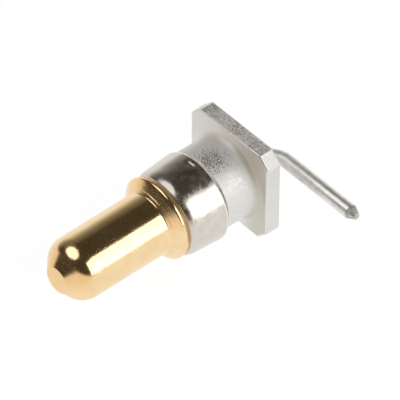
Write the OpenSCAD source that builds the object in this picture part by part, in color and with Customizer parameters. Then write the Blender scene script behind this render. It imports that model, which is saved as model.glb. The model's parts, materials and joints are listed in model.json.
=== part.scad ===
// Right-angle power contact of a backplane connector, lying as it comes to rest.
// A turned pin with a collar is pressed into a square-flanged body, and a loose
// split ring is trapped between the collar and the body's neck. A bent wire
// pressed into the back of the flange is the solder tail.
// The modules draw the contact with its axis level along Y: the nose points to
// -Y, the flange's front face is at y = 0 and the tail runs out to +X.
// The origin is where the contact axis meets the flange's front face.

/* [Pin] */
// Diameter of the mating pin
pin_d = 4.2; // [3.6:0.05:4.5]
// Reach of the nose in front of the flange
nose_reach = 13.9; // [11:0.1:17]
// Diameter of the flat on the nose
nose_flat_d = 1.8; // [1:0.1:2.4]
// Slope of the nose cone against the axis, in degrees
nose_slope = 48; // [35:1:60]
// Radius that blends the nose cone into the pin
nose_shoulder_r = 1.4; // [0.4:0.1:1.8]
// Radius on the rim of the nose flat
nose_rim_r = 0.15; // [0.05:0.05:0.3]

/* [Collar] */
// Diameter of the collar over its crest
collar_d = 5.6; // [5.2:0.05:6]
// Slope of the collar's front against the axis, in degrees
collar_slope = 48; // [35:1:65]
// Slope of the collar's back against the axis, in degrees
collar_back_slope = 17; // [5:1:25]
// Length of the collar's back, from the corner that its crest rounds to the ring
collar_back_l = 0.4; // [0.3:0.05:0.8]
// Radius on the collar's crest
collar_crest_r = 0.2; // [0.05:0.05:0.3]
// Radius in the corner between pin and collar
collar_foot_r = 0.12; // [0.04:0.02:0.3]

/* [Journal and shank] */
// Diameter of the journal that carries the ring
journal_d = 4.6; // [4:0.05:4.8]
// Diameter of the shank pressed into the body
shank_d = 3; // [2:0.1:3.8]
// Length of the shank
shank_l = 2.2; // [1:0.1:2.4]
// Chamfer on the shank's end
shank_chamfer = 0.2; // [0.05:0.05:0.4]
// Radial gap left in the model at a pressed joint
press_gap = 0.01; // [0.005:0.005:0.03]
// Depth left free at the bottom of a pressed joint
press_end_gap = 0.1; // [0.05:0.05:0.3]

/* [Retaining ring] */
// Length of the ring
ring_l = 2.82; // [1.8:0.02:4]
// Wall at the ring's front edge
ring_front_wall = 0.28; // [0.2:0.01:0.38]
// Wall where the ring's front lip ends
ring_lip_wall = 0.47; // [0.42:0.01:0.6]
// Wall at the ring's rear edge
ring_rear_wall = 0.63; // [0.52:0.01:0.8]
// Length of the front lip
ring_lip_l = 0.35; // [0.25:0.05:1]
// Radius on the ring's front edge
ring_front_edge_r = 0.04; // [0.02:0.02:0.1]
// Radius on the ring's rear edge
ring_rear_edge_r = 0.14; // [0.04:0.02:0.2]
// Width of the slit that lets the ring close up
ring_slit_w = 0.8; // [0.3:0.1:1.5]
// Radial play of the ring on its journal
ring_play = 0.12; // [0.04:0.02:0.2]
// Play of the ring along its journal, left between ring and neck
ring_end_play = 0.1; // [0.05:0.05:0.3]

/* [Body] */
// Side of the square flange
flange_side = 7; // [6.7:0.1:8.5]
// Thickness of the flange
flange_t = 1.1; // [0.8:0.05:2]
// Leg of the chamfer on the flange's corners
flange_corner = 0.8; // [0.3:0.05:1.2]
// Leg of the small chamfer along the flange's edges
flange_break = 0.08; // [0.02:0.02:0.16]
// Diameter of the neck
neck_d = 5.55; // [5:0.05:5.8]
// Length of the neck in front of the flange
neck_l = 2.6; // [2.2:0.1:4]
// Radius in the corner between neck and flange
neck_fillet_r = 0.5; // [0.1:0.05:0.55]
// Chamfer on the neck's front edge
neck_chamfer = 0.1; // [0.05:0.05:0.3]

/* [Solder tail] */
// Diameter of the tail wire
tail_d = 0.95; // [0.6:0.05:1.4]
// Depth to which the tail is pressed into the flange
tail_seat_l = 1; // [0.5:0.1:1.2]
// Distance from the flange's back to the tail's centre line
tail_setback = 2.3; // [2.1:0.1:5]
// Reach of the tail from the contact axis
tail_reach = 7.95; // [5:0.05:14]
// Radius of the tail's bend at its centre line
tail_bend_r = 1.7; // [0.8:0.1:2]
// Length of the tail's blunt point
tail_point_l = 0.6; // [0.2:0.1:1.2]
// Diameter at the end of the point
tail_point_d = 0.4; // [0.2:0.05:0.5]

/* [Hidden] */
$fn = 96;

// The collar's two cones would meet in a corner, which the crest's radius takes
// down to the collar's diameter
crest_turn = (collar_slope + collar_back_slope) / 2;
crest_lean = (collar_slope - collar_back_slope) / 2;
collar_corner_r = collar_d / 2 + collar_crest_r * (cos(crest_lean) / cos(crest_turn) - 1);
collar_rear_r = collar_corner_r - collar_back_l * tan(collar_back_slope);

// Stations along the contact axis
nose_y = -nose_reach;
nose_end_y = nose_y + (pin_d - nose_flat_d) / 2 / tan(nose_slope);
neck_y = -neck_l;
ring_rear_y = neck_y - ring_end_play;
ring_front_y = ring_rear_y - ring_l;
ring_lip_y = ring_front_y + ring_lip_l;
collar_corner_y = ring_front_y - collar_back_l;
collar_crest_y = collar_corner_y + collar_crest_r * sin(crest_lean) / cos(crest_turn);
collar_foot_y = collar_corner_y - (collar_corner_r - pin_d / 2) / tan(collar_slope);
shank_end_y = neck_y + shank_l;
bore_end_y = shank_end_y + press_end_gap;
tail_y = flange_t + tail_setback;
tail_bend_y = tail_y - tail_bend_r;
tail_seat_y = flange_t - tail_seat_l;
tail_bore_y = tail_seat_y - press_end_gap;
tail_point_x = tail_reach - tail_point_l;

// Spread of a corner's wedge and the arc's own growth, both as a share of radius
wedge_spread = 1.2;
arc_proud = 1.0003;

// The ring lies over to the tail's side by its play
ring_bore_r = journal_d / 2 + ring_play;
ring_front_r = ring_bore_r + ring_front_wall;
ring_lip_r = ring_bore_r + ring_lip_wall;
ring_rear_r = ring_bore_r + ring_rear_wall;
ring_shift_x = ring_play - press_gap;

// The neck's fillet ends on the flat of the flange
neck_foot_end_r = flange_side / 2 - flange_break;
neck_foot_r = min(neck_fillet_r, neck_foot_end_r - flange_break - neck_d / 2);

// Pitch at which the part lies on the flange's lower front edge and on the
// first of nose, collar and ring to come down
flange_half = flange_side / 2;
nose_arc_y = nose_end_y + nose_shoulder_r * tan(nose_slope / 2);
rest_pitch = min(
    edge_pitch(pin_d / 2, nose_arc_y, nose_shoulder_r),
    edge_pitch(collar_d / 2, collar_crest_y, collar_crest_r),
    edge_pitch(ring_lip_r, ring_lip_y, 0),
    edge_pitch(ring_rear_r, ring_rear_y, 0)
);

// Pitch at which an edge of radius r at station y meets the surface, where the
// edge is rounded by edge_r about that station
function edge_pitch(r, y, edge_r) =
    let (drop = flange_half - r + edge_r, run = flange_break - y)
        acos(edge_r / norm([drop, run])) - atan2(run, drop);

function unit(v) = v / norm(v);

// Half of the angle that the outline encloses at the middle one of three points
function half_angle(p) = acos(unit(p[0] - p[1]) * unit(p[2] - p[1])) / 2;

// Where the arc of radius r in the corner at the middle point starts and ends
function arc_ends(p, r) = [
    for (end = [0, 2]) p[1] + unit(p[end] - p[1]) * r / tan(half_angle(p))
];

// Centre of that arc
function arc_centre(p, r) =
    p[1] + unit(unit(p[0] - p[1]) + unit(p[2] - p[1])) * r / sin(half_angle(p));

// Disc behind that arc, a hair too large so that it crosses its tangents
module arc_disc(p, r) {
    translate(arc_centre(p, r)) circle(r = r * arc_proud);
}

// What the arc takes off an outer corner, reaching out past the corner
module corner_wedge(p, r) {
    ends = arc_ends(p, r);
    centre = arc_centre(p, r);
    outside = [for (point = [ends[0], p[1], ends[1]]) centre + (point - centre) * wedge_spread];
    difference() {
        polygon([ends[0], outside[0], outside[1], outside[2], ends[1]]);
        arc_disc(p, r);
    }
}

// Outline through points given anticlockwise as [x, y, r], each corner with
// its own radius r, or sharp where r is 0
module rounded_outline(corners) {
    count = len(corners);
    points = [for (corner = corners) [corner.x, corner.y]];
    function around(i) = [points[(i + count - 1) % count], points[i], points[(i + 1) % count]];
    function turn(p) = sign(cross(p[1] - p[0], p[2] - p[1]));
    function is_rounded(i, side) = corners[i].z > 0 && turn(around(i)) == side;
    outer = [for (i = [0 : count - 1]) if (is_rounded(i, 1)) i];
    inner = [for (i = [0 : count - 1]) if (is_rounded(i, -1)) i];
    filled = [
        for (i = [0 : count - 1])
            each is_rounded(i, -1) ? arc_ends(around(i), corners[i].z) : [points[i]]
    ];
    difference() {
        polygon(filled);
        for (i = outer) corner_wedge(around(i), corners[i].z);
        for (i = inner) arc_disc(around(i), corners[i].z);
    }
}

// Solid turned about the contact axis from corners given as [radius, y, r]
module turned(corners) {
    rotate([-90, 0, 0]) rotate_extrude() rounded_outline(corners);
}

// Cylinder along the contact axis from one station to another
module bore(r, from_y, to_y) {
    translate([0, from_y, 0]) rotate([-90, 0, 0]) cylinder(r = r, h = to_y - from_y);
}

// Lays the level contact down on its flange edge and nose
module laid_down() {
    rotate([rest_pitch, 0, 0]) children();
}

module contact_pin() {
    color("goldenrod") laid_down() turned([
        [0, nose_y, 0],
        [nose_flat_d / 2, nose_y, nose_rim_r],
        [pin_d / 2, nose_end_y, nose_shoulder_r],
        [pin_d / 2, collar_foot_y, collar_foot_r],
        [collar_corner_r, collar_corner_y, collar_crest_r],
        [collar_rear_r, ring_front_y, 0],
        [journal_d / 2, ring_front_y, 0],
        [journal_d / 2, neck_y, 0],
        [shank_d / 2, neck_y, 0],
        [shank_d / 2, shank_end_y - shank_chamfer, 0],
        [shank_d / 2 - shank_chamfer, shank_end_y, 0],
        [0, shank_end_y, 0]
    ]);
}

module retaining_ring() {
    color("dimgray") laid_down() translate([ring_shift_x, 0, 0]) difference() {
        turned([
            [ring_bore_r, ring_front_y, 0],
            [ring_front_r, ring_front_y, ring_front_edge_r],
            [ring_lip_r, ring_lip_y, 0],
            [ring_rear_r, ring_rear_y, ring_rear_edge_r],
            [ring_bore_r, ring_rear_y, 0]
        ]);
        translate([-2 * ring_rear_r, ring_front_y - ring_l, -ring_slit_w / 2])
            cube([2 * ring_rear_r, 3 * ring_l, ring_slit_w]);
    }
}

// Flange cross-section in thickness, with its edges chamfered
module flange_section(width) {
    flat_x = width / 2 - flange_break;
    flat_y = flange_t - flange_break;
    polygon([
        [-flat_x, 0], [flat_x, 0],
        [width / 2, flange_break], [width / 2, flat_y],
        [flat_x, flange_t], [-flat_x, flange_t],
        [-width / 2, flat_y], [-width / 2, flange_break]
    ]);
}

// Each pair of opposite sides is one long bar: two pairs make the square and
// two more, turned by half a right angle, cut its corners
module flange_plate() {
    corner_width = (flange_side - flange_corner) * sqrt(2);
    intersection_for(turn = [0 : 3]) {
        width = turn % 2 == 0 ? flange_side : corner_width;
        rotate([0, 45 * turn, 0])
            linear_extrude(2 * flange_side, center = true) flange_section(width);
    }
}

module flange_body() {
    color("silver") laid_down() difference() {
        union() {
            flange_plate();
            turned([
                [0, neck_y, 0],
                [neck_d / 2 - neck_chamfer, neck_y, 0],
                [neck_d / 2, neck_y + neck_chamfer, 0],
                [neck_d / 2, 0, neck_foot_r],
                [neck_foot_end_r, 0, 0],
                [neck_foot_end_r, flange_t / 2, 0],
                [0, flange_t / 2, 0]
            ]);
        }
        bore(shank_d / 2 + press_gap, neck_y - shank_l, bore_end_y);
        bore(tail_d / 2 + press_gap, tail_bore_y, 2 * flange_t);
    }
}

module solder_tail() {
    color("lightgray") laid_down() union() {
        bore(tail_d / 2, tail_seat_y, tail_bend_y);
        translate([tail_bend_r, tail_bend_y, 0])
            rotate_extrude(angle = 90, start = 90) translate([tail_bend_r, 0]) circle(d = tail_d);
        translate([tail_bend_r, tail_y, 0])
            rotate([0, 90, 0]) cylinder(d = tail_d, h = tail_point_x - tail_bend_r);
        translate([tail_point_x, tail_y, 0])
            rotate([0, 90, 0]) cylinder(d1 = tail_d, d2 = tail_point_d, h = tail_point_l);
    }
}

contact_pin();
retaining_ring();
flange_body();
solder_tail();
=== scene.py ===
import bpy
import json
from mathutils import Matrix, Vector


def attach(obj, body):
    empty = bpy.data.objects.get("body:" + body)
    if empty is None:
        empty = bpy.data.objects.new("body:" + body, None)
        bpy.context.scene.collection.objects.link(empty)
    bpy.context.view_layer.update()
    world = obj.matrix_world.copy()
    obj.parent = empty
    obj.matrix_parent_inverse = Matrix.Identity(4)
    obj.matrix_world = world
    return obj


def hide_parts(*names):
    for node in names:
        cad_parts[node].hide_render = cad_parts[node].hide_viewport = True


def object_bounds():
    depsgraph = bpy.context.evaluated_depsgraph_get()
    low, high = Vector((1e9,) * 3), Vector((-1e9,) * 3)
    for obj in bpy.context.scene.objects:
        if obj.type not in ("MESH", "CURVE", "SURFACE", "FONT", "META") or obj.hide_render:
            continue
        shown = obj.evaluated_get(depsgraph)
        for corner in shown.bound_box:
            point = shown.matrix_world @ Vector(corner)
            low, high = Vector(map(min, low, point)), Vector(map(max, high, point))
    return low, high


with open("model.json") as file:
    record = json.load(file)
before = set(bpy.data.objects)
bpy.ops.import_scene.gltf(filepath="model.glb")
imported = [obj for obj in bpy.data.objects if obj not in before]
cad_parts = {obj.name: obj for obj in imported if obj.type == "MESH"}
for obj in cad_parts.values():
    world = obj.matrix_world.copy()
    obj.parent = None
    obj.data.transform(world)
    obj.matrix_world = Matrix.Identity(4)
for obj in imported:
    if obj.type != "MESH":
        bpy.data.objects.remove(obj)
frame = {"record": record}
cad_box = [list(corner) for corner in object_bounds()]

import json
from math import atan2, cos, pi, radians, sin, sqrt, tan, tau

import bmesh
import bpy
from mathutils import Matrix, Vector

MM = 0.001

# The contact lies nose down, so it has its own axes: to the tail, to the back and up
mounts = {mount["name"]: mount for mount in frame["record"]["mounts"]}
SIDE = Vector(mounts["solder_tail"]["axis"])
AXIS = -Vector(mounts["flange_seat"]["axis"]).normalized()
RISE = SIDE.cross(AXIS)
PITCH = atan2(AXIS.z, AXIS.y)
FLOOR_Z = cad_box[0][2]

# Sizes are in millimetres, and stations y run along the axis from the flange's front face

# Body
FLANGE_SIDE = 7.0
FLANGE_T = 1.1
FLANGE_CORNER = 0.8
FLANGE_BREAK = 0.12
FLANGE_HALF = FLANGE_SIDE / 2
FACET_SUM = FLANGE_SIDE - FLANGE_CORNER
NECK_R = 2.775
NECK_Y = -2.6
NECK_EDGE_R = 0.1
NECK_FILLET_R = 0.5

# Journal and shank
JOURNAL_R = 2.3
SHANK_R = 1.5
SHANK_L = 2.2
SHANK_CHAMFER = 0.2
SHANK_END_Y = NECK_Y + SHANK_L
PRESS_GAP = 0.01
PRESS_END_GAP = 0.1

# Retaining ring, which lies over to the tail's side by its play
RING_L = 2.82
RING_LIP_L = 0.35
RING_FRONT_WALL = 0.28
RING_LIP_WALL = 0.47
RING_REAR_WALL = 0.63
RING_PLAY = 0.12
RING_END_PLAY = 0.1
RING_SLIT_W = 0.8
RING_FRONT_EDGE_R = 0.04
RING_LIP_BLEND_R = 1.3
RING_REAR_EDGE_R = 0.2
RING_BORE_FRONT_R = 0.03
RING_BORE_REAR_R = 0.05
RING_BORE_R = JOURNAL_R + RING_PLAY
RING_FRONT_R = RING_BORE_R + RING_FRONT_WALL
RING_LIP_R = RING_BORE_R + RING_LIP_WALL
RING_REAR_R = RING_BORE_R + RING_REAR_WALL
RING_REAR_Y = NECK_Y - RING_END_PLAY
RING_FRONT_Y = RING_REAR_Y - RING_L
RING_LIP_Y = RING_FRONT_Y + RING_LIP_L
RING_SHIFT_X = RING_PLAY - PRESS_GAP

# Dent in the ring's top: its steep wall, how far it reaches and the rows of faces that carry it
DENT_X = 0.16
DENT_Y = -3.21
DENT_WALL = 0.08
DENT_DEPTH = 0.056
DENT_REACH = 0.45
DENT_HALF_L = 0.2
DENT_ROWS = 8

# Pin
PIN_R = 2.1
NOSE_Y = -13.9
NOSE_FLAT_R = 0.9
NOSE_SLOPE = radians(48)
NOSE_RIM_R = 0.15
NOSE_SHOULDER_R = 1.4
NOSE_END_Y = NOSE_Y + (PIN_R - NOSE_FLAT_R) / tan(NOSE_SLOPE)

# Collar: its two cones would meet in a corner, which the crest takes down to the collar's radius
COLLAR_R = 2.8
COLLAR_SLOPE = radians(48)
COLLAR_BACK_SLOPE = radians(17)
COLLAR_BACK_L = 0.4
COLLAR_FOOT_R = 0.12
COLLAR_CREST_R = 0.2
COLLAR_REAR_EDGE_R = 0.02
CREST_TURN = (COLLAR_SLOPE + COLLAR_BACK_SLOPE) / 2
CREST_LEAN = (COLLAR_SLOPE - COLLAR_BACK_SLOPE) / 2
COLLAR_CORNER_R = COLLAR_R + COLLAR_CREST_R * (cos(CREST_LEAN) / cos(CREST_TURN) - 1)
COLLAR_CORNER_Y = RING_FRONT_Y - COLLAR_BACK_L
COLLAR_FOOT_Y = COLLAR_CORNER_Y - (COLLAR_CORNER_R - PIN_R) / tan(COLLAR_SLOPE)
COLLAR_REAR_R = COLLAR_CORNER_R - COLLAR_BACK_L * tan(COLLAR_BACK_SLOPE)

# Scored line on the collar's slope
LINE_R = 2.28
LINE_W = 0.06
LINE_DEPTH = 0.02
LINE_EDGE_R = 0.01

# Solder tail
TAIL_R = 0.475
TAIL_SEAT_L = 1.0
TAIL_SEAT_EDGE_R = 0.04
TAIL_SETBACK = 2.3
TAIL_BEND_R = 1.7
TAIL_END_X = 7.95
TAIL_END_R = 0.2
TAIL_POINT_L = 0.6
TAIL_POINT_BREAK = 0.035
TAIL_SEAT_Y = FLANGE_T - TAIL_SEAT_L
TAIL_Y = FLANGE_T + TAIL_SETBACK
TAIL_BEND_Y = TAIL_Y - TAIL_BEND_R
TAIL_POINT_X = TAIL_END_X - TAIL_POINT_L

# Middles of the places that handling has rubbed: the neck's top and side, and the flange's top edge
RUBBED_TOP = (0.45, -1.9, 2.65)
RUBBED_SIDE = (1.85, -1.3, 2.0)
RUBBED_EDGE = (0.05, 0.5, 3.5)

# Fineness of the meshes. Points and rims at the hold distance from an edge keep flat runs flat
# in smooth shading, and points closer than the weld distance, in metres, are one.
TURN_STEPS = 144
WIRE_STEPS = 56
BEND_STEPS = 28
SMOOTH_ANGLE = radians(32)
HOLD = 0.03
WELD = 1e-7

# Camera, with angles in degrees and its distance in metres
CAMERA_AZIMUTH = 43.833
CAMERA_ELEVATION = 40.591
CAMERA_ROLL = 6.839
CAMERA_DISTANCE = 0.40622
CAMERA_TARGET = (-0.297, -1.929, -1.384)
CAMERA_LENS = 596.469
CAMERA_SENSOR = 36.0

# Lamps and floor, in metres
LAMP_DISTANCE = 0.6
FLOOR_SIZE = 3.0


# Modelling steps


def at(x, y):
    """Place in metres of a point in the plane of axis and tail, given in millimetres."""
    return (SIDE * x + AXIS * y) * MM


def station(point):
    """Distance along the contact's axis, in millimetres."""
    return point.dot(AXIS) / MM


def middle(edge):
    return (edge.verts[0].co + edge.verts[1].co) / 2


def along(edge):
    return (edge.verts[1].co - edge.verts[0].co).normalized()


def deselect():
    if bpy.context.mode != "OBJECT":
        bpy.ops.object.mode_set(mode="OBJECT")
    bpy.ops.object.select_all(action="DESELECT")


def activate(piece):
    deselect()
    piece.select_set(True)
    bpy.context.view_layer.objects.active = piece


def start_editing(piece, kind):
    activate(piece)
    bpy.ops.object.mode_set(mode="EDIT")
    bpy.ops.mesh.select_mode(type=kind)
    bpy.ops.mesh.select_all(action="DESELECT")


def stop_editing():
    bpy.ops.object.mode_set(mode="OBJECT")


def pick(piece, elements, wanted):
    """Select the vertices, edges or faces of the piece in edit mode that pass the test."""
    mesh = bmesh.from_edit_mesh(piece.data)
    for element in getattr(mesh, elements):
        element.select_set(wanted(element))
    mesh.select_flush_mode()
    bmesh.update_edit_mesh(piece.data)


def extrude(step):
    """Extrude what is selected by a step in metres."""
    bpy.ops.mesh.extrude_region_move(TRANSFORM_OT_translate={"value": step})


def bevel(width, segments):
    """Bevel the selected edges, with the width in millimetres."""
    bpy.ops.mesh.bevel(offset=width * MM, offset_type="OFFSET", segments=segments, affect="EDGES")


def face_outwards():
    """Turn all faces of the piece in edit mode outwards, and leave edit mode."""
    bpy.ops.mesh.select_all(action="SELECT")
    bpy.ops.mesh.normals_make_consistent(inside=False)
    stop_editing()


def arc(before, corner, after, fillet, steps):
    """Points of the arc that rounds a corner between its two neighbours."""
    to_before = (before - corner).normalized()
    to_after = (after - corner).normalized()
    half = to_before.angle(to_after) / 2
    centre = corner + (to_before + to_after).normalized() * (fillet / sin(half))
    start = corner + to_before * (fillet / tan(half)) - centre
    end = corner + to_after * (fillet / tan(half)) - centre
    sweep = -start.angle_signed(end)
    return [centre + Matrix.Rotation(sweep * k / steps, 2) @ start for k in range(steps + 1)]


def hold_points(start, end):
    """A point near each end of a longer straight run."""
    run = end - start
    if run.length <= 4 * HOLD:
        return []
    step = run.normalized() * HOLD
    return [start + step, end - step]


def rounded(corners, closed=False):
    """Outline through sharp corners (r, y) and rounded ones (r, y, fillet, steps)."""
    points = [Vector(corner[:2]) for corner in corners]
    count = len(corners)
    runs = []
    for i, corner in enumerate(corners):
        rounding = corner[2:]
        if rounding:
            runs.append(arc(points[i - 1], points[i], points[(i + 1) % count], *rounding))
        else:
            runs.append([points[i]])
    outline = []
    for i, run in enumerate(runs):
        outline += run
        if i + 1 < count or closed:
            outline += hold_points(run[-1], runs[(i + 1) % count][0])
    return outline


def lathe(name, outline, closed=False, shift=0.0):
    """Turn an outline of (radius, y) about the contact's axis, or about a line beside it."""
    deselect()
    bpy.ops.mesh.primitive_plane_add(size=MM)
    piece = bpy.context.object
    piece.name = name
    start_editing(piece, "VERT")
    bpy.ops.mesh.select_all(action="SELECT")
    bpy.ops.mesh.merge(type="CENTER")
    places = [at(r + shift, y) for r, y in outline]
    bpy.ops.transform.translate(value=places[0])
    for here, there in zip(places, places[1:]):
        extrude(there - here)
    if closed:
        ends = (places[0], places[-1])
        pick(piece, "verts", lambda v: any((v.co - end).length < WELD for end in ends))
        bpy.ops.mesh.edge_face_add()
    bpy.ops.mesh.select_all(action="SELECT")
    bpy.ops.mesh.spin(steps=TURN_STEPS, angle=tau, center=at(shift, 0), axis=AXIS)
    bpy.ops.mesh.select_all(action="SELECT")
    bpy.ops.mesh.remove_doubles(threshold=WELD)
    face_outwards()
    return piece


def finish_piece(piece, node, material):
    """Shade the piece, give it its material and let it stand for its node."""
    activate(piece)
    bpy.ops.object.shade_smooth_by_angle(angle=SMOOTH_ANGLE)
    piece.data.materials.clear()
    piece.data.materials.append(material)
    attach(piece, "root")
    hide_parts(node)


# Gold-plated pin


def scored_line(foot, crest):
    """Three corners of a fine line that the turning tool left on the collar's slope."""
    foot, crest = Vector(foot), Vector(crest)
    uphill = (crest - foot).normalized()
    inward = Vector((-uphill.y, uphill.x)) * LINE_DEPTH
    centre = foot + (crest - foot) * (LINE_R - foot.x) / (crest.x - foot.x)
    half = uphill * LINE_W / 2
    return [(*place, LINE_EDGE_R, 2) for place in (centre - half, centre + inward, centre + half)]


def make_pin(material):
    foot = (PIN_R, COLLAR_FOOT_Y)
    crest = (COLLAR_CORNER_R, COLLAR_CORNER_Y)
    pin = lathe("pin_turned", rounded([
        (0, NOSE_Y),
        (NOSE_FLAT_R, NOSE_Y, NOSE_RIM_R, 6),
        (PIN_R, NOSE_END_Y, NOSE_SHOULDER_R, 20),
        (*foot, COLLAR_FOOT_R, 6),
        *scored_line(foot, crest),
        (*crest, COLLAR_CREST_R, 12),
        (COLLAR_REAR_R, RING_FRONT_Y, COLLAR_REAR_EDGE_R, 3),
        (JOURNAL_R, RING_FRONT_Y),
        (JOURNAL_R, NECK_Y),
        (SHANK_R, NECK_Y),
        (SHANK_R, SHANK_END_Y - SHANK_CHAMFER),
        (SHANK_R - SHANK_CHAMFER, SHANK_END_Y),
        (0, SHANK_END_Y),
    ]))
    finish_piece(pin, "contact_pin", material)


# Split retaining ring


def cut_slit(ring):
    """Cut the ring through on the side away from the tail."""
    deselect()
    bpy.ops.mesh.primitive_cube_add(
        size=MM,
        location=at(RING_SHIFT_X - RING_REAR_R, RING_FRONT_Y + RING_L / 2),
        rotation=(PITCH, 0, 0),
        scale=(2 * RING_BORE_R, 2 * RING_L, RING_SLIT_W),
    )
    cutter = bpy.context.object
    activate(ring)
    cut = ring.modifiers.new("Slit", "BOOLEAN")
    cut.object = cutter
    cut.operation = "DIFFERENCE"
    cut.solver = "EXACT"
    bpy.ops.object.modifier_apply(modifier=cut.name)
    cutter_mesh = cutter.data
    bpy.data.objects.remove(cutter)
    bpy.data.meshes.remove(cutter_mesh)


def dent(ring):
    """Dent the ring's top: a floor that sinks gently to the rear and ends in a short steep wall."""

    def around_dent(face):
        centre = face.calc_center_median()
        beside = abs(centre.x / MM - DENT_X) < 1.2 * DENT_REACH
        return beside and face.normal.dot(RISE) > 0.9 and centre.dot(RISE) > 0

    def at_wall(vertex):
        on_top = vertex.co.dot(RISE) > 0 and not vertex.hide
        beside = abs(vertex.co.x / MM - DENT_X) < DENT_HALF_L
        return on_top and beside and abs(station(vertex.co) - DENT_Y) < DENT_WALL / 2

    start_editing(ring, "FACE")
    for k in range(-1, DENT_ROWS):
        pick(ring, "faces", around_dent)
        bpy.ops.mesh.bisect(plane_co=at(0, DENT_Y - k * DENT_WALL), plane_no=AXIS, threshold=WELD)
    # what lies behind the wall is hidden, so that it stays
    bpy.ops.mesh.select_mode(type="VERT")
    bpy.ops.mesh.select_all(action="DESELECT")
    pick(ring, "verts", lambda v: station(v.co) > DENT_Y + DENT_WALL / 2)
    bpy.ops.mesh.hide()
    pick(ring, "verts", at_wall)
    bpy.ops.transform.translate(
        value=-RISE * DENT_DEPTH * MM,
        use_proportional_edit=True,
        proportional_edit_falloff="SMOOTH",
        proportional_size=DENT_REACH * MM,
    )
    bpy.ops.mesh.reveal(select=False)
    stop_editing()


def split_many_sided(piece):
    """Cut faces of more than four sides into triangles."""
    start_editing(piece, "FACE")
    pick(piece, "faces", lambda f: len(f.verts) > 4)
    bpy.ops.mesh.quads_convert_to_tris(ngon_method="BEAUTY")
    stop_editing()


def make_ring(material):
    outline = rounded([
        (RING_BORE_R, RING_FRONT_Y, RING_BORE_FRONT_R, 3),
        (RING_FRONT_R, RING_FRONT_Y, RING_FRONT_EDGE_R, 4),
        (RING_LIP_R, RING_LIP_Y, RING_LIP_BLEND_R, 10),
        (RING_REAR_R, RING_REAR_Y, RING_REAR_EDGE_R, 10),
        (RING_BORE_R, RING_REAR_Y, RING_BORE_REAR_R, 3),
    ], closed=True)
    ring = lathe("ring_turned", outline, closed=True, shift=RING_SHIFT_X)
    cut_slit(ring)
    dent(ring)
    split_many_sided(ring)
    finish_piece(ring, "retaining_ring", material)


# Body: square flange, neck and the tail's seat


def open_face(plate, outward):
    """Take out the wide face that looks outward, leaving a narrow hold rim."""
    square = FLANGE_SIDE * FLANGE_SIDE * MM * MM
    start_editing(plate, "FACE")
    pick(plate, "faces", lambda f: f.normal.dot(outward) > 0.999 and f.calc_area() > square / 2)
    bpy.ops.mesh.inset(thickness=HOLD * MM)
    bpy.ops.mesh.delete(type="FACE")
    stop_editing()


def make_plate():
    """Flange plate with cut corners, rounded edges and both wide faces open."""
    deselect()
    bpy.ops.mesh.primitive_cube_add(
        size=MM,
        location=at(0, FLANGE_T / 2),
        rotation=(PITCH, 0, 0),
        scale=(FLANGE_SIDE, FLANGE_T, FLANGE_SIDE),
    )
    plate = bpy.context.object
    plate.name = "body_flange"
    bpy.ops.object.transform_apply(location=True, rotation=True, scale=True)
    start_editing(plate, "EDGE")
    pick(plate, "edges", lambda e: abs(along(e).dot(AXIS)) > 0.99)
    bevel(FLANGE_CORNER, segments=1)
    bpy.ops.mesh.select_all(action="SELECT")
    bevel(FLANGE_BREAK, segments=4)
    # hold rims on the sides and corner facets, and none on the rounded edges
    facet = FLANGE_CORNER * FLANGE_T * MM * MM
    bpy.ops.mesh.select_all(action="DESELECT")
    bpy.ops.mesh.select_mode(type="FACE")
    pick(plate, "faces", lambda f: abs(f.normal.dot(AXIS)) < 0.01 and f.calc_area() > facet / 2)
    bpy.ops.mesh.inset(thickness=HOLD * MM, use_individual=True)
    stop_editing()
    open_face(plate, -AXIS)
    open_face(plate, AXIS)
    return plate


def make_neck():
    """Neck with the bore for the pin's shank, ending in a rim on the flange's front."""
    bore_r = SHANK_R + PRESS_GAP
    bore_end_y = SHANK_END_Y + PRESS_END_GAP
    return lathe("neck", rounded([
        (0, bore_end_y),
        (bore_r, bore_end_y),
        (bore_r, NECK_Y),
        (NECK_R, NECK_Y, NECK_EDGE_R, 4),
        (NECK_R, 0, NECK_FILLET_R, 14),
        (NECK_R + NECK_FILLET_R + 2 * HOLD, 0),
    ]))


def make_tail_seat():
    """Bore for the tail, ending in a rim on the flange's back."""
    bore_r = TAIL_R + PRESS_GAP
    bore_end_y = TAIL_SEAT_Y - PRESS_END_GAP
    return lathe("seat", rounded([
        (0, bore_end_y),
        (bore_r, bore_end_y),
        (bore_r, FLANGE_T, TAIL_SEAT_EDGE_R, 4),
        (bore_r + 5 * HOLD, FLANGE_T),
    ]))


def bridge_rims(piece, y):
    """Close the flat between the two open rims at a station."""
    start_editing(piece, "EDGE")
    pick(piece, "edges", lambda e: e.is_boundary and abs(station(middle(e)) - y) < HOLD)
    bpy.ops.mesh.bridge_edge_loops()
    stop_editing()


def make_body(material):
    body = make_plate()
    parts = (make_neck(), make_tail_seat())
    activate(body)
    for part in parts:
        part.select_set(True)
    bpy.ops.object.join()
    bridge_rims(body, 0)
    bridge_rims(body, FLANGE_T)
    start_editing(body, "VERT")
    face_outwards()
    finish_piece(body, "flange_body", material)


# Solder tail


def runs_round_point(edge):
    """Whether an edge lies across the wire at either end of its tapered point."""
    return middle(edge).x > (TAIL_POINT_X - HOLD) * MM and abs(along(edge).x) < 0.1


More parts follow.
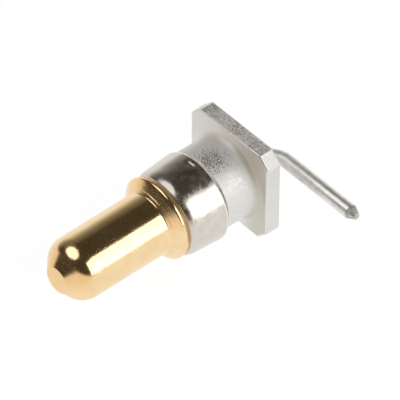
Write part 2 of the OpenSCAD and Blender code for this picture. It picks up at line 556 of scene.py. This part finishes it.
def make_tail(material):
    deselect()
    bpy.ops.mesh.primitive_circle_add(
        vertices=WIRE_STEPS,
        radius=TAIL_R * MM,
        fill_type="NGON",
        location=at(0, TAIL_SEAT_Y),
        rotation=(PITCH - pi / 2, 0, 0),
    )
    tail = bpy.context.object
    tail.name = "tail_wire"
    bpy.ops.object.transform_apply(location=True, rotation=True, scale=True)
    start_editing(tail, "FACE")
    bpy.ops.mesh.select_all(action="SELECT")
    extrude(AXIS * (TAIL_BEND_Y - TAIL_SEAT_Y) * MM)
    bend_centre = at(TAIL_BEND_R, TAIL_BEND_Y)
    bpy.ops.mesh.spin(steps=BEND_STEPS, angle=pi / 2, center=bend_centre, axis=RISE)
    extrude(SIDE * (TAIL_POINT_X - TAIL_BEND_R) * MM)
    extrude(SIDE * TAIL_POINT_L * MM)
    taper = TAIL_END_R / TAIL_R
    bpy.ops.transform.resize(value=(taper, taper, taper), center_override=at(TAIL_END_X, TAIL_Y))
    bpy.ops.mesh.select_mode(type="EDGE")
    pick(tail, "edges", runs_round_point)
    bevel(TAIL_POINT_BREAK, segments=3)
    face_outwards()
    finish_piece(tail, "solder_tail", material)


# Shader expressions


def set_input(socket, value):
    """Link a wire to a socket, or set the socket's value."""
    if isinstance(value, Wire):
        value.tree.links.new(value.socket, socket)
    else:
        socket.default_value = value


def set_stops(ramp, stops):
    while len(ramp) < len(stops):
        ramp.new(0.5)
    for stop, (position, colour) in zip(ramp, stops):
        stop.position = position
        stop.color = (*colour, 1)


class Wire:
    """A shader socket that takes part in Python expressions."""

    def __init__(self, tree, socket=None):
        self.tree = tree
        self.socket = socket

    def node(self, kind, settings=None, inputs=None, output=0):
        """Output of a new node of any type, with its settings and the values or links of its sockets."""
        node = self.tree.nodes.new(kind)
        for name, value in (settings or {}).items():
            if name == "stops":
                set_stops(node.color_ramp.elements, value)
            else:
                setattr(node, name, value)
        for key, value in (inputs or {}).items():
            set_input(node.inputs[key], value)
        return Wire(self.tree, node.outputs[output])

    def math(self, operation, first, second=0.0):
        return self.node("ShaderNodeMath", {"operation": operation}, {0: first, 1: second})

    def __add__(self, other):
        return self.math("ADD", self, other)

    __radd__ = __add__

    def __mul__(self, other):
        return self.math("MULTIPLY", self, other)

    __rmul__ = __mul__

    def __sub__(self, other):
        return self.math("SUBTRACT", self, other)

    def __rsub__(self, other):
        return self.math("SUBTRACT", other, self)

    def __abs__(self):
        return self.math("ABSOLUTE", self)

    def larger(self, other):
        return self.math("MAXIMUM", self, other)

    def smaller(self, other):
        return self.math("MINIMUM", self, other)

    def step(self, low, high):
        """Smooth rise from 0 at low to 1 at high."""
        settings = {"interpolation_type": "SMOOTHSTEP"}
        return self.node("ShaderNodeMapRange", settings, {0: self, 1: low, 2: high, 3: 0.0, 4: 1.0})

    def band(self, rise, fall):
        """Smooth rise over one range and fall over a later one."""
        return self.step(*rise) * (1 - self.step(*fall))

    def mix(self, first, second):
        """Colour between two colours, by this value."""
        first, second = (c if isinstance(c, Wire) else (*c, 1) for c in (first, second))
        return self.node("ShaderNodeMix", {"data_type": "RGBA"}, {0: self, 6: first, 7: second}, 2)

    def part(self, letter):
        return self.node("ShaderNodeSeparateXYZ", None, {0: self}, letter)

    def parts(self):
        return [self.part(letter) for letter in "XYZ"]

    def stretch(self, x, y, z):
        return self.node("ShaderNodeMapping", None, {"Vector": self, "Scale": (x, y, z)})

    def noise(self, scale, detail=2.0, roughness=0.5, curl=0.0):
        """Cloudy noise at this place."""
        shape = {"Scale": scale, "Detail": detail, "Roughness": roughness, "Distortion": curl}
        return self.node("ShaderNodeTexNoise", None, {"Vector": self, **shape})

    def dot(self, vector):
        settings = {"operation": "DOT_PRODUCT"}
        return self.node("ShaderNodeVectorMath", settings, {0: self, 1: vector}, "Value")

    def near(self, centre, inner, outer):
        """1 up to the inner distance from a centre, falling to 0 at the outer one."""
        settings = {"operation": "DISTANCE"}
        distance = self.node("ShaderNodeVectorMath", settings, {0: self, 1: centre}, "Value")
        return 1 - distance.step(inner, outer)


def connect(node, **sockets):
    """Set the inputs of a node, with underscores for the spaces in their names."""
    for name, value in sockets.items():
        set_input(node.inputs[name.replace("_", " ")], value)


def start_material(name):
    """A material, its shader and the place on the contact in millimetres, with the contact level."""
    material = bpy.data.materials.new(name)
    material.use_nodes = True
    tree = material.node_tree
    shader = tree.nodes["Principled BSDF"]
    wire = Wire(tree)
    object_place = wire.node("ShaderNodeTexCoord", output="Object")
    scale = 1 / MM
    to_level = {"Vector": object_place, "Rotation": (-PITCH, 0, 0), "Scale": (scale, scale, scale)}
    place = wire.node("ShaderNodeMapping", None, to_level)
    return material, shader, place


def bump(height, depth):
    """Normal from a height of 0 to 1 that stands for a depth in millimetres."""
    return height.node("ShaderNodeBump", None, {"Height": height, "Distance": depth * MM, "Strength": 1.0})


def turning_marks(place, scale):
    """Fine rings round the axis, as a turning tool leaves them on walls, slopes and ends."""
    x, y, z = place.parts()
    radius = place.math("SQRT", x * x + z * z)
    inputs = {"W": y + radius, "Scale": scale, "Detail": 3.0, "Roughness": 0.6}
    return place.node("ShaderNodeTexNoise", {"noise_dimensions": "1D"}, inputs)


# Finishes


def gold_plate():
    """Polished gold with faint pits, turning marks on the collar's slope and painted brown shade on the
    upper half of the collar's back, next to the ring."""
    material, shader, place = start_material("gold_plate_polished")
    x, y, z = place.parts()
    slope_end = COLLAR_CORNER_Y - 0.08
    slope = y.band((COLLAR_FOOT_Y, COLLAR_FOOT_Y + 0.1), (slope_end - 0.15, slope_end))
    back_start = COLLAR_CORNER_Y + 0.09
    back = y.band((back_start, back_start + 0.06), (RING_FRONT_Y - 0.12, RING_FRONT_Y))
    # painted shade: the upper half of the collar's back, next to the ring, turns dark brown
    collar_back_shade = back * z.step(-0.35, 0.1)
    cloud = place.noise(scale=0.9)
    ripple = place.noise(scale=9.0, roughness=0.6)
    pits = place.noise(scale=10.0).step(0.6, 0.68)
    marks = turning_marks(place, 9.0) * (0.3 + 0.5 * slope)
    clean = (cloud.step(0.3, 0.7) - 0.5 * pits).mix((0.91, 0.67, 0.375), (0.95, 0.73, 0.435))
    # colour of that painted shade, a little lighter on the tail's side
    brown = x.step(1.6, 2.3).mix((0.38, 0.26, 0.125), (0.53, 0.35, 0.17))
    connect(
        shader,
        Base_Color=collar_back_shade.mix(clean, brown),
        Metallic=1.0,
        Roughness=0.11 + 0.06 * cloud + 0.14 * pits + 0.06 * slope,
        Normal=bump(0.6 * ripple + marks, 0.005),
    )
    return material


def nickel_plate():
    """Bright nickel, a little hazy, with a painted darker reflection on top and a painted highlight on the
    rear rim, which is also a little smoother.
    """
    material, shader, place = start_material("nickel_plate_bright")
    x, y, z = place.parts()
    # painted reflection: the ring's top, left of the middle, is coloured darker, as if it mirrored
    # something dark
    dark_top_reflection = z.step(1.7, 2.5) * x.band((-1.35, -0.8), (0.2, 1.4))
    # painted highlight: the ring's rear rim is coloured almost white, and is a little smoother
    rim = y.step(RING_REAR_Y - 0.22, RING_REAR_Y - 0.15)
    waves = place.noise(scale=1.2, detail=0.0)
    haze = place.noise(scale=2.4, detail=3.0)
    marks = turning_marks(place, 6.0)
    clean = haze.step(0.3, 0.7).mix((0.67, 0.625, 0.57), (0.73, 0.685, 0.635))
    connect(
        shader,
        Base_Color=rim.mix(dark_top_reflection.mix(clean, (0.48, 0.46, 0.43)), (0.96, 0.94, 0.91)),
        Metallic=0.98,
        Roughness=0.19 + 0.1 * haze.step(0.35, 0.65) - 0.05 * rim,
        Normal=bump(waves + 0.02 * marks, 0.03),
    )
    return material


def worn_edges(place):
    """1 on the rounded edges of the flange's front, where handling has polished them."""
    x, y, z = (abs(part) for part in place.parts())
    to_side = FLANGE_HALF - x.larger(z)
    to_facet = (FACET_SUM - x - z) * sqrt(0.5)
    inset = to_side.smaller(to_facet)
    return 1 - (inset + y).step(0.85 * FLANGE_BREAK, 1.05 * FLANGE_BREAK)


def burnished_marks(place, sides, top, facets):
    """1 where the silver is burnished: specks on the neck, grit on the flange's top side, faint
    streaks on its other sides and grain on the corner facets next to the tail."""
    x = place.part("X")
    dots = place.noise(scale=13.0, detail=3.0, roughness=0.65)
    specks = (dots + 0.115 * place.near(RUBBED_TOP, 0.3, 1.5)).step(0.58, 0.65)
    wisps = place.noise(scale=5.0, detail=4.0, roughness=0.7, curl=0.8).step(0.42, 0.66)
    on_neck = specks.larger(0.55 * wisps * place.near(RUBBED_SIDE, 0.5, 1.6))
    patches = place.noise(scale=1.1, detail=3.0)
    drawn_out = place.stretch(0.25, 1.0, 0.25).noise(scale=10.0, detail=4.0, roughness=0.7)
    streaks = (drawn_out + 0.2 * patches).step(0.54, 0.72)
    wear = 0.09 * place.near(RUBBED_EDGE, 0.2, 1.0) + 0.065 * x.step(0.5, 1.8)
    grit = (dots + wear).step(0.57, 0.65).larger(0.6 * streaks)
    grains = place.noise(scale=11.0, detail=3.0, roughness=0.65).step(0.4, 0.6)
    on_sides = grit * top + 0.25 * streaks * (sides - top) + 0.4 * grains * facets * x.step(0.0, 1.0)
    return on_neck * (1 - sides) + on_sides


def chalky_marks(place, top, facets):
    """1 where the flange's top side and corner facets are chalky."""
    flakes = place.noise(scale=4.5, detail=4.0, roughness=0.6).step(0.4, 0.58)
    crumbs = place.noise(scale=6.0, detail=3.0, roughness=0.6, curl=1.0).step(0.44, 0.54)
    return (top * flakes).larger(facets * crumbs)


def front_shade_colour(place):
    """Colour of the flange's front round the neck's foot, in painted light and shade: lighter away from
    the tail, darker and warmer towards it, darkest in the fillet next to the tail.
    """
    x, y, z = place.parts()
    # painted light: lighter on the side away from the tail
    away = x.step(-2.6, 0.2).mix((0.93, 0.92, 0.895), (0.975, 0.968, 0.943))
    # painted shade: darker and warmer towards the tail, most so low down
    to_tail = z.step(0.5, 2.5).mix((0.77, 0.735, 0.675), (0.86, 0.83, 0.765))
    # painted shade: darkest in the fillet next to the tail
    fillet = y.band((-NECK_FILLET_R, -0.25), (-0.12, -0.01)) * x.step(0.2, 1.2)
    return fillet.mix(x.step(0.4, 2.6).mix(away, to_tail), (0.72, 0.7, 0.62))


def silver_plate():
    """Frosted silver, burnished and chalky in places, with polished edges next to the tail, painted light
    away from the tail and painted shade near it, a duller front round the neck's foot in painted shade and
    a painted dark line of shade behind the ring."""
    material, shader, place = start_material("silver_plate_frosted")
    x, y, z = place.parts()
    sides = y.step(0.02, 0.08)
    top = sides * z.step(FLANGE_HALF - 0.2, FLANGE_HALF - 0.04)
    facets = sides * (abs(x) + abs(z)).step(FACET_SUM - 0.1, FACET_SUM - 0.02)
    # the flange's front and the neck's foot: a duller finish, coloured in painted shade
    front_and_neck_foot = y.step(-0.7, -0.05) * (1 - sides)
    # painted light on the side away from the tail, which is also smoother
    away = 1 - x.step(-2.4, -0.8)
    # painted shade: a dark line on the neck just behind the ring, on the tail's side
    crevice_shade = x.step(1.4, 2.1) * (1 - y.step(NECK_Y + 0.1, NECK_Y + 0.15))
    polished = worn_edges(place) * x.step(1.5, 2.2)
    burnished = polished.larger(burnished_marks(place, sides, top, facets) * (1 - front_and_neck_foot))
    chalky = chalky_marks(place, top, facets)
    frost = place.noise(scale=26.0, roughness=0.6)
    # painted light and shade: the base colour is darker near the tail and lighter away from it
    near_tail = x.step(1.8, 2.9).mix((0.91, 0.912, 0.895), (0.87, 0.87, 0.855))
    clean = away.mix(near_tail, (0.97, 0.97, 0.95))
    marked = chalky.mix(crevice_shade.mix(clean, (0.36, 0.29, 0.22)), (0.95, 0.95, 0.935))
    frosted = front_and_neck_foot.mix(marked, front_shade_colour(place))
    connect(
        shader,
        Base_Color=burnished.mix(frosted, (0.76, 0.755, 0.74)),
        Metallic=0.65 + 0.35 * burnished + 0.15 * front_and_neck_foot - 0.3 * chalky,
        Roughness=0.7 - 0.25 * away * (1 - front_and_neck_foot) - 0.44 * burnished - 0.1 * front_and_neck_foot,
        Normal=bump(frost, 0.007),
    )
    return material


def tinned_wire():
    """Satin tin, patchy and smoother along the straight run, with a dark rough cut at the point."""
    material, shader, place = start_material("tinned_wire_satin")
    x = place.part("X")
    cut = x.step(TAIL_POINT_X - HOLD, TAIL_POINT_X)
    smooth = x.step(2.5, 5.5)
    patches = place.noise(scale=2.5, detail=4.0, roughness=0.6)
    spots = place.noise(scale=8.0, detail=3.0, roughness=0.6)
    bright = patches.step(0.35, 0.65).mix((0.83, 0.83, 0.81), (0.98, 0.98, 0.96))
    dark = spots.step(0.4, 0.6).mix((0.42, 0.41, 0.39), (0.72, 0.715, 0.69))
    connect(
        shader,
        Base_Color=cut.mix(bright, dark),
        Metallic=0.75,
        Roughness=0.4 - 0.09 * smooth + 0.1 * spots + 0.15 * cut,
        Normal=bump(spots * (0.2 + 0.8 * cut), 0.007),
    )
    return material


# Studio


def direction(azimuth, elevation):
    """Unit vector; azimuth 0 is in front of the nose and 90 on the tail's side."""
    a, e = radians(azimuth), radians(elevation)
    return Vector((sin(a) * cos(e), -cos(a) * cos(e), sin(e)))


def is_ray(wire, kind):
    """1 for rays of a kind: from the camera, or mirrored by metal."""
    return wire.node("ShaderNodeLightPath", output=f"Is {kind} Ray")


def soft_box(name, shape, azimuth, elevation, half_width, half_height, radiance):
    """Flat lamp that fills the given half angles, seen from the part."""
    lamp = bpy.data.lights.new(name, "AREA")
    lamp.shape = shape
    lamp.size = 2 * LAMP_DISTANCE * tan(radians(half_width))
    lamp.size_y = 2 * LAMP_DISTANCE * tan(radians(half_height))
    fill = pi / 4 if shape == "ELLIPSE" else 1
    lamp.energy = radiance * pi * lamp.size * lamp.size_y * fill
    holder = bpy.data.objects.new(name, lamp)
    bpy.context.scene.collection.objects.link(holder)
    to_lamp = direction(azimuth, elevation)
    holder.location = to_lamp * LAMP_DISTANCE
    holder.rotation_euler = to_lamp.to_track_quat("Z", "Y").to_euler()
    holder.visible_camera = False


def make_floor():
    """White paper that glows where the camera sees it, so that its shadow stays faint, and where metal
    mirrors it, with a warmer glow in front of the contact."""
    deselect()
    bpy.ops.mesh.primitive_plane_add(size=FLOOR_SIZE, location=(0, 0, FLOOR_Z))
    floor = bpy.context.object
    floor.name = "floor"
    material = bpy.data.materials.new("floor_paper")
    material.use_nodes = True
    tree = material.node_tree
    tree.nodes.remove(tree.nodes["Principled BSDF"])
    wire = Wire(tree)
    camera = is_ray(wire, "Camera")
    mirrored = is_ray(wire, "Glossy")
    ahead = 1 - wire.node("ShaderNodeTexCoord", output="Object").part("Y").step(-0.02, -0.01)
    in_metal = (ahead * mirrored).mix((1, 1, 1), (0.95, 0.83, 0.68))
    tint = camera.mix(in_metal, (1.06, 1.06, 1.06))
    glow = wire.node("ShaderNodeEmission", None, {"Color": tint, "Strength": 1.0})
    paper = wire.node("ShaderNodeBsdfDiffuse", None, {"Color": (0.95, 0.95, 0.95, 1)})
    glowing = (0.9 * camera).larger(0.93 * mirrored)
    surface = wire.node("ShaderNodeMixShader", None, {0: glowing, 1: paper, 2: glow})
    connect(tree.nodes["Material Output"], Surface=surface)
    floor.data.materials.append(material)


def make_world():
    """Dome that is bright at the horizon and dark above, darkest in front, with two faint glows. The
    camera sees white."""
    world = bpy.data.worlds.new("studio")
    bpy.context.scene.world = world
    world.use_nodes = True
    tree = world.node_tree
    wire = Wire(tree)
    towards = wire.node("ShaderNodeTexCoord", output="Generated")
    height = towards.part("Z")
    front = towards.dot(direction(8, 0)).step(-0.6, 0.35)
    left_glow = towards.dot(direction(-75, 50)).step(0.9, 0.98)
    rear_glow = towards.dot(direction(-170, 25)).step(0.86, 0.97)
    back_sky = wire.node("ShaderNodeValToRGB", {"stops": [
        (0.06, (1.0, 0.99, 0.97)),
        (0.26, (0.73, 0.715, 0.67)),
        (0.42, (0.43, 0.41, 0.35)),
        (0.57, (0.235, 0.212, 0.165)),
        (0.71, (0.15, 0.132, 0.1)),
        (0.82, (0.056, 0.047, 0.031)),
    ]}, {0: height})
    front_sky = wire.node("ShaderNodeValToRGB", {"stops": [
        (0.0, (0.9, 0.83, 0.76)),
        (0.07, (0.6, 0.49, 0.4)),
        (0.11, (0.22, 0.172, 0.13)),
        (0.16, (0.067, 0.054, 0.038)),
        (0.5, (0.054, 0.044, 0.029)),
    ]}, {0: height})
    glows = 0.09 * left_glow + 0.35 * rear_glow
    dome = glows.mix(front.mix(back_sky, front_sky), (1, 0.97, 0.9))
    seen = is_ray(wire, "Camera").mix(dome, (1, 1, 1))
    connect(tree.nodes["Background"], Color=seen, Strength=1.0)


def make_camera():
    lens = bpy.data.cameras.new("camera")
    lens.sensor_width = CAMERA_SENSOR
    lens.lens = CAMERA_LENS
    lens.clip_start = 0.01
    lens.clip_end = 20
    camera = bpy.data.objects.new("camera", lens)
    bpy.context.scene.collection.objects.link(camera)
    to_camera = direction(CAMERA_AZIMUTH, CAMERA_ELEVATION)
    place = Matrix.Translation(Vector(CAMERA_TARGET) * MM + to_camera * CAMERA_DISTANCE)
    level = to_camera.to_track_quat("Z", "Y").to_matrix().to_4x4()
    camera.matrix_world = place @ level @ Matrix.Rotation(radians(CAMERA_ROLL), 4, "Z")
    bpy.context.scene.camera = camera


make_camera()
make_floor()
make_world()
soft_box(
    "soft_box_front", "ELLIPSE",
    azimuth=-30, elevation=53.5, half_width=24.5, half_height=23.5, radiance=1.45,
)
soft_box(
    "soft_box_tail", "RECTANGLE",
    azimuth=106.5, elevation=30, half_width=25.5, half_height=23, radiance=1.9,
)

make_pin(gold_plate())
make_ring(nickel_plate())
make_body(silver_plate())
make_tail(tinned_wire())

bpy.context.scene.view_settings.view_transform = "Standard"
